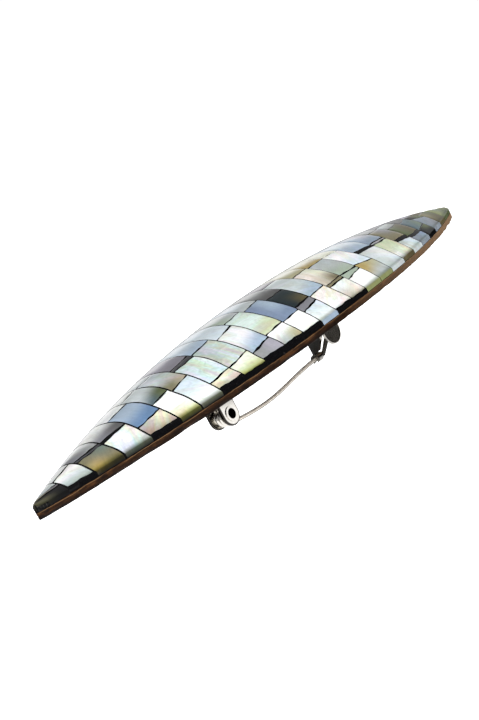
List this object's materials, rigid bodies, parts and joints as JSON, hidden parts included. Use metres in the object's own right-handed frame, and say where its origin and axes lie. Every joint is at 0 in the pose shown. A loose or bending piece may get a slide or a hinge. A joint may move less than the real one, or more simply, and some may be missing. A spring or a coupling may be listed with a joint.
{
  "type": "brooch",
  "caption": "Long pointed oval brooch: a domed, polished mother-of-pearl mosaic on a flat shell base, with a bar pin and a roll-over safety catch on its back.",
  "frame": {"origin": "centre of the base plate's flat back face", "axes": "+X along the brooch from the hinge end to the catch end, +Z out of the domed front, +Y across it"},
  "size_m": [0.105, 0.0256, 0.0142],
  "materials": {
    "coconut_shell": "sanded, dark brown coconut shell",
    "black_resin": "polished",
    "shell_pale": "polished mother-of-pearl, white",
    "shell_cream": "polished mother-of-pearl, cream with pink and green shimmer",
    "shell_blue": "polished mother-of-pearl, blue-grey",
    "shell_dark": "polished mother-of-pearl, smoky",
    "plated_steel": "bright nickel plate",
    "adhesive": "clear set adhesive"
  },
  "bodies": {
    "brooch": {"base_plate": "coconut_shell", "resin_core": "black_resin", "tip_cap_near": "shell_dark", "tip_cap_far": "shell_dark", "shell_row_01": "shell_cream", "shell_row_02": "shell_dark", "shell_row_03": "shell_pale", "shell_row_04": "shell_blue", "shell_row_05": "shell_pale", "shell_row_06": "shell_pale", "shell_row_07": "shell_cream", "shell_row_08": "shell_blue", "shell_row_09": "shell_pale", "shell_row_10": "shell_pale", "shell_row_11": "shell_pale", "shell_row_12": "shell_dark", "shell_row_13": "shell_pale", "shell_row_14": "shell_pale", "shell_row_15": "shell_pale", "shell_row_16": "shell_pale", "shell_row_17": "shell_pale", "shell_row_18": "shell_blue", "shell_row_19": "shell_pale", "shell_row_20": "shell_dark", "shell_row_21": "shell_dark", "shell_row_22": "shell_dark", "shell_row_23": "shell_cream", "shell_row_24": "shell_cream", "finding_bar": "plated_steel", "hinge_rivet": "plated_steel", "bar_adhesive": "adhesive"},
    "pin": {"pin_stem": "plated_steel"},
    "lock": {"catch_roller": "plated_steel"}
  },
  "joints": [
    {"name": "pin_swing", "type": "hinge", "parent": "brooch", "child": "pin", "pos_m": [-0.017, 0, -0.00345], "axis": [0, 1, 0], "range_deg": [0, 110]},
    {"name": "catch_lock", "type": "hinge", "parent": "brooch", "child": "lock", "pos_m": [0.0055, 0, -0.005], "axis": [1, 0, 0], "range_deg": [0, 150]}
  ]
}
